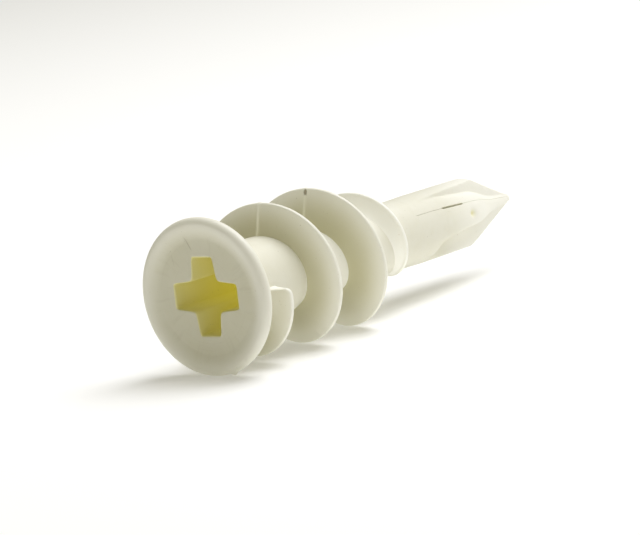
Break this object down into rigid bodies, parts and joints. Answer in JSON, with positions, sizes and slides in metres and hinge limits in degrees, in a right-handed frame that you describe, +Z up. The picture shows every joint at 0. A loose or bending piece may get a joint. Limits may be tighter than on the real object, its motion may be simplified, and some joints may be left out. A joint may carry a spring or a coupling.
{
  "type": "self-drilling wall anchor",
  "caption": "Self-drilling nylon wall anchor: cross-recessed head, coarse running thread, hollow barrel and a split drill tip whose legs spread.",
  "frame": {"origin": "on the anchor's axis, in the plane where the underside of the head meets the face of the board", "axes": "+Y along the axis from the head to the drill tip, the way it is driven; +Z up and +X to the right seen from the head, with the cross of the recess upright"},
  "size_m": [0.0128, 0.042, 0.0128],
  "materials": {
    "nylon_head": "satin",
    "nylon_shank": "satin",
    "nylon_thread": "satin",
    "nylon_tip": "satin"
  },
  "bodies": {
    "moulding": {"head_flange": "nylon_head", "neck": "nylon_shank", "barrel": "nylon_shank", "thread_start": "nylon_thread", "thread_turn_1": "nylon_thread", "thread_turn_2": "nylon_thread", "thread_run_out": "nylon_thread"},
    "leg_a": {"drill_leg_a": "nylon_tip"},
    "leg_b": {"drill_leg_b": "nylon_tip"}
  },
  "joints": [
    {"name": "leg_a_spread", "type": "hinge", "parent": "moulding", "child": "leg_a", "pos_m": [-0.00158, 0.0247, 0.00243], "axis": [0.8387, 0, 0.5446], "range_deg": [0, 8], "stiffness_Nm_per_rad": 0.0006},
    {"name": "leg_b_spread", "type": "hinge", "parent": "moulding", "child": "leg_b", "pos_m": [0.00158, 0.0247, -0.00243], "axis": [-0.8387, 0, -0.5446], "range_deg": [0, 8], "stiffness_Nm_per_rad": 0.0006}
  ],
  "couplings": [
    {"joint": "leg_b_spread", "follows": "leg_a_spread", "ratio": 1}
  ]
}
